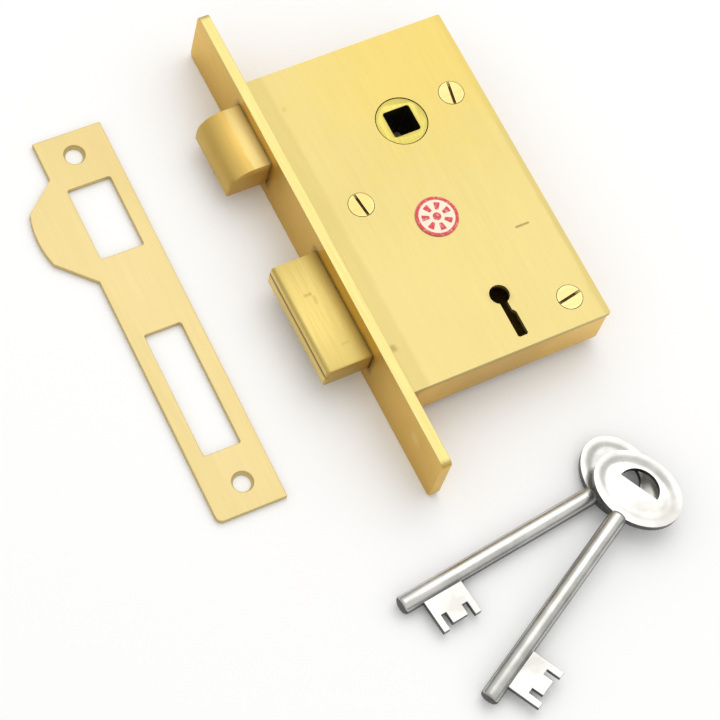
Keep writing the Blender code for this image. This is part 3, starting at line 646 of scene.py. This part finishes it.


# ---------------------------------------------------------------- deadbolt
# A cast brass head, drawn out and in by the key, with a tail plate inside the case. The
# outer long edge is rounded. Its end face is painted paler, with a dark and a light line
# along it as painted reflections, and its side toward the lower end is painted darker as
# painted shade.

deadbolt_brass = metal(
    "deadbolt_brass", (0.64, 0.51, 0.18), (0.60, 0.465, 0.15), 0.44, 0.54, ALONG_Y, 0.08,
    edge_share=0.45,
    # painted light and shade: the first three patches paint the end face paler with a dark and a
    # light line as reflections, and the fourth darkens the side toward the lower end; the rest are
    # real nicks.
    patches=(((-13.7, -18.5, -1), (0.35, 18, 4), 0.4, (0.82, 0.62, 0.20), 0.9),
             ((-13.4, -18.5, 0.8), (0.5, 18, 0.3), 0.6, (0.16, 0.09, 0.03), 0.85),
             ((-13.4, -18.5, -1.6), (0.5, 17, 0.4), 0.7, (0.88, 0.70, 0.28), 0.6),
             ((-5, -35.4, 0), (12, 0.3, 4), 0.7, (0.50, 0.33, 0.09), 0.7),
             ((-7.9, -12.6, 3.7), (0.8, 0.1, 0.5), 0.6, (0.36, 0.25, 0.08), 0.5),
             ((-6.6, -14.6, 3.7), (0.1, 1.0, 0.5), 0.6, (0.42, 0.30, 0.10), 0.4),
             ((-5, -29, 3.5), (1, 0.2, 0.5), 0.4, (0.52, 0.37, 0.12), 0.45)))
BOLT_LOW, BOLT_HIGH = (-13.4, -35.2, -3.7), (8.9, -1.8, 3.7)
BOLT_ROUNDING = 1.3
TAIL_START = 4
bolt_tail = bpy.data.objects.new("bolt_tail", nodes["deadbolt"].data.copy())
bpy.context.scene.collection.objects.link(bolt_tail)
edit(bolt_tail, "EDGE", nothing)
bpy.ops.mesh.select_all(action="SELECT")
bpy.ops.mesh.remove_doubles(threshold=0.001 * MM)
bpy.ops.mesh.bisect(plane_co=(TAIL_START * MM, 0, 0), plane_no=(1, 0, 0), clear_inner=True,
                    use_fill=True)
finish_edit()
bolt = start_cube("bolt", BOLT_LOW, BOLT_HIGH)
edit(bolt, "EDGE", outer_top_edge(BOLT_LOW, BOLT_HIGH))
bpy.ops.mesh.bevel(offset=BOLT_ROUNDING * MM, segments=8, affect="EDGES")
finish_edit()
round_edges(bolt, 0.22, 2, 50)
for piece in (bolt_tail, bolt):
    add_material(piece, deadbolt_brass)
    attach(piece, "deadbolt")
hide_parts("deadbolt")
for name in ("bolt_stump", "bolt_guide_pin"):
    dress(name, zinc)


# ---------------------------------------------------------------- levers
# Five levers stamped from brass sheet, stacked on one steel pin, each pressed down by its
# own leaf of spring steel against a stop pin.

lever_brass = metal("lever_brass", (0.56, 0.42, 0.17), (0.42, 0.31, 0.12), 0.34, 0.52, ALONG_X)
leaf_steel = metal("leaf_steel", (0.34, 0.34, 0.36), (0.24, 0.24, 0.26), 0.3, 0.46, ALONG_X,
                   edge=(0.6, 0.6, 0.6))
for number in range(1, 6):
    dress(f"lever_{number}", lever_brass)
    dress(f"lever_spring_{number}", leaf_steel)
for name in ("lever_pivot", "spring_stop_pin"):
    dress(name, zinc)


# ---------------------------------------------------------------- label
# A round paper sticker: a red ring and a ring of red strokes printed on cream.

LABEL_CENTRE = (33.6, -6.5, 7.7)
RIM_START, STROKES_START, STROKES_END, DOT_RADIUS, STROKE_COUNT = 5.0, 2.1, 4.3, 1.2, 7.0
label_print = bpy.data.materials.new("label_print")
label_print.use_nodes = True
tree = label_print.node_tree
shader = tree.nodes["Principled BSDF"]
shader.inputs["Roughness"].default_value = 0.5
place = node(tree, "ShaderNodeTexCoord").outputs["Object"]
centred = node(tree, "ShaderNodeVectorMath", [(0, place), (1, Vector(LABEL_CENTRE) * MM)],
               operation="SUBTRACT").outputs["Vector"]
flat = node(tree, "ShaderNodeVectorMath", [(0, centred), (1, (1000.0, 1000.0, 0.0))],
            operation="MULTIPLY").outputs["Vector"]
radius = node(tree, "ShaderNodeVectorMath", [(0, flat)], operation="LENGTH").outputs["Value"]
split = node(tree, "ShaderNodeSeparateXYZ", [("Vector", flat)])
bearing = arithmetic(tree, "ARCTAN2", split.outputs["Y"], split.outputs["X"])
strokes = arithmetic(tree, "SINE", arithmetic(tree, "MULTIPLY", bearing, STROKE_COUNT), 0.0)
fibre = node(tree, "ShaderNodeTexNoise", [("Vector", place), ("Scale", 1400.0),
                                          ("Detail", 3.0)]).outputs["Fac"]
rim = spread(tree, radius, RIM_START - 0.05, RIM_START + 0.1)
inner_edge = arithmetic(tree, "MULTIPLY",
                        spread(tree, radius, STROKES_START - 0.1, STROKES_START + 0.1),
                        spread(tree, radius, STROKES_END + 0.1, STROKES_END - 0.1))
printed = arithmetic(tree, "MULTIPLY", inner_edge, spread(tree, strokes, -0.1, 0.2))
centre_dot = spread(tree, radius, DOT_RADIUS + 0.1, DOT_RADIUS - 0.1)
ink = arithmetic(tree, "MAXIMUM", arithmetic(tree, "MAXIMUM", rim, printed), centre_dot)
patchy = arithmetic(tree, "MULTIPLY", ink, spread(tree, fibre, 0.25, 0.5, 0.55, 1.0))
tree.links.new(blend(tree, patchy, (0.93, 0.80, 0.62, 1), (0.66, 0.045, 0.06, 1)),
               shader.inputs["Base Color"])
paper = node(tree, "ShaderNodeBump", [("Height", fibre), ("Strength", 0.2),
                                      ("Distance", 0.00002)])
tree.links.new(paper.outputs["Normal"], shader.inputs["Normal"])
dress("inspection_label", label_print)


# ---------------------------------------------------------------- strike plate
# Blanked from 1.6 mm brass sheet with its lip pressed out at one side, satin lacquered
# like the cap. The two windows and the screw holes are punched.

strike_brass = metal(
    "strike_brass", (0.65, 0.525, 0.255), (0.62, 0.50, 0.222), 0.50, 0.54, ALONG_Y, 0.012, 0.06,
    12.0, edge=(0.52, 0.40, 0.13), edge_share=0.5,
    patches=(((-43.7, -10, -8.4), (1, 40, 2), 12, (0.67, 0.56, 0.29), 0.4),))
dress("strike_plate", strike_brass)


# ---------------------------------------------------------------- keys
# Two alike, cast and nickel plated: an oval bow with a dished middle and a D-shaped hole,
# a round shank and a bit filed to fit the five levers. One is modelled and copied.

def nickel_plate():
    """Bright plating with soft bands along the key; its upright sides and faces seen edge-on are
    painted dark as painted shade.
    """
    material = bpy.data.materials.new("nickel_plate")
    material.use_nodes = True
    tree = material.node_tree
    shader = tree.nodes["Principled BSDF"]
    shader.inputs["Specular IOR Level"].default_value = 0.2
    finish = node(tree, "ShaderNodeGroup", node_tree=linished)
    for label, value in (("Pale", (0.66, 0.655, 0.62, 1)), ("Deep", (0.44, 0.435, 0.41, 1)),
                         ("Cloud Scale", 90.0), ("Grain Scale", (90.0, 90.0, 600.0)),
                         ("Grain", 0.15), ("Scratches", 0.5), ("Smooth", 0.22),
                         ("Rough", 0.36)):
        finish.inputs[label].default_value = value
    turning = node(tree, "ShaderNodeLayerWeight", [("Blend", 0.5)]).outputs["Facing"]
    upright = node(tree, "ShaderNodeTexCoord").outputs["Normal"]
    slope = arithmetic(tree, "ABSOLUTE", node(tree, "ShaderNodeSeparateXYZ",
                                              [("Vector", upright)]).outputs["Z"], 0.0)
    # painted shade: upright faces and faces seen edge-on are darkened and made less metallic.
    turned_away_shade = arithmetic(tree, "MAXIMUM", spread(tree, slope, 0.55, 0.20, 0.0, 0.92, True),
                      spread(tree, turning, 0.60, 0.90, 0.0, 0.5, True))
    colour = blend(tree, turned_away_shade, finish.outputs["Colour"], (0.02, 0.02, 0.02, 1))
    unshaded_metal = arithmetic(tree, "SUBTRACT", 1.0, turned_away_shade)
    tree.links.new(unshaded_metal, shader.inputs["Metallic"])
    tree.links.new(colour, shader.inputs["Base Color"])
    tree.links.new(finish.outputs["Roughness"], shader.inputs["Roughness"])
    tree.links.new(finish.outputs["Normal"], shader.inputs["Normal"])
    return material


BOW_HALF = (9.4, 12.7, 1.2)
SHANK_RADIUS, SHANK_START, KEY_LENGTH = 2.55, 8.7, 70.8
BIT_START, BIT_END, BIT_REACH, BIT_HALF = -65.3, -53.5, 11.8, 0.95
NOTCHES = ((-63.4, -61.8, 7.4), (-61.85, -57.0, 10.8), (-57.05, -55.4, 7.8))

key = start_rod("key", 1, -BOW_HALF[2], BOW_HALF[2], sides=64)
edit(key, "FACE", lambda middle, normal: True)
bpy.ops.transform.resize(value=(BOW_HALF[0], BOW_HALF[1], 1), center_override=(0, 0, 0))
finish_edit()
for side in (1, -1):
    edit(key, "FACE", lambda middle, normal: normal.z * side > 0.9)
    bpy.ops.mesh.inset(thickness=2.1 * MM, depth=0)
    bpy.ops.mesh.inset(thickness=0.6 * MM, depth=-0.35 * MM)
    bpy.ops.mesh.inset(thickness=1.6 * MM, depth=0.12 * MM)
    finish_edit()
HOLE_START, HOLE_BULGE, HOLE_HALF = 0.6, 5.0, 5.8
d_hole = start_rod("d_hole", 1, -4, 4, sides=40)
edit(d_hole, "FACE", lambda middle, normal: True)
bpy.ops.transform.resize(value=(HOLE_BULGE, HOLE_HALF, 1), center_override=(0, 0, 0))
bpy.ops.mesh.bisect(plane_co=(0, 0, 0), plane_no=(1, 0, 0), clear_inner=True, use_fill=True)
finish_edit()
place_mesh(d_hole, (HOLE_START, 0, 0))
boolean(key, d_hole)
shank = start_rod("shank", SHANK_RADIUS, SHANK_START, KEY_LENGTH, (0, -math.pi / 2, 0), 32)
edit(shank, "EDGE", lambda a, b: max(a.x, b.x) < 0.1 - KEY_LENGTH)
bpy.ops.mesh.bevel(offset=0.7 * MM, segments=4, affect="EDGES")
finish_edit()
edit(shank, "EDGE", lambda a, b: min(a.x, b.x) > -SHANK_START - 0.1)
bpy.ops.mesh.bevel(offset=1.1 * MM, segments=4, affect="EDGES")
finish_edit()
bit = start_cube("bit", (BIT_START, -BIT_REACH, -BIT_HALF), (BIT_END, -1, BIT_HALF))
for start, end, reach in NOTCHES:
    boolean(bit, start_cube("notch", (start, -BIT_REACH - 1, -3), (end, -reach, 3)))
edit(bit, "EDGE", nothing)
bpy.ops.mesh.edges_select_sharp(sharpness=math.radians(50))
bpy.ops.mesh.bevel(offset=0.12 * MM, segments=1, affect="EDGES", clamp_overlap=True)
finish_edit()
boolean(key, shank, "UNION")
boolean(key, bit, "UNION")
bpy.ops.object.select_all(action="DESELECT")
key.select_set(True)
bpy.context.view_layer.objects.active = key
bpy.ops.object.shade_smooth_by_angle(angle=math.radians(35))
add_material(key, nickel_plate())
key.data.materials.append(metal("key_hole_shade", (0.06, 0.06, 0.06), (0.03, 0.03, 0.03), 0.4,
                                0.6, ROUND_Z, edge=(0.1, 0.1, 0.1)))
for face in key.data.polygons:
    middle = face.center / MM
    in_hole = 0 < middle.x - HOLE_START + 0.1 < HOLE_BULGE + 0.2 and abs(middle.y) < HOLE_HALF + 0.1
    if in_hole and abs(face.normal.z) < 0.3:
        face.material_index = 1
KEY_PLACES = (("table_key", "key_lower", (48.7, -88.95, -7.45), (0, 0, 6.7)),
              ("resting_key", "key_upper", (49.7, -94.9, -2.8), (0, -3.77, 28.3)))
for name, body, place, degrees in KEY_PLACES:
    piece = copy_of(key, name)
    place_mesh(piece, place, [math.radians(part) for part in degrees])
    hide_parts(body)
    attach(piece, body)
bpy.data.objects.remove(key, do_unlink=True)
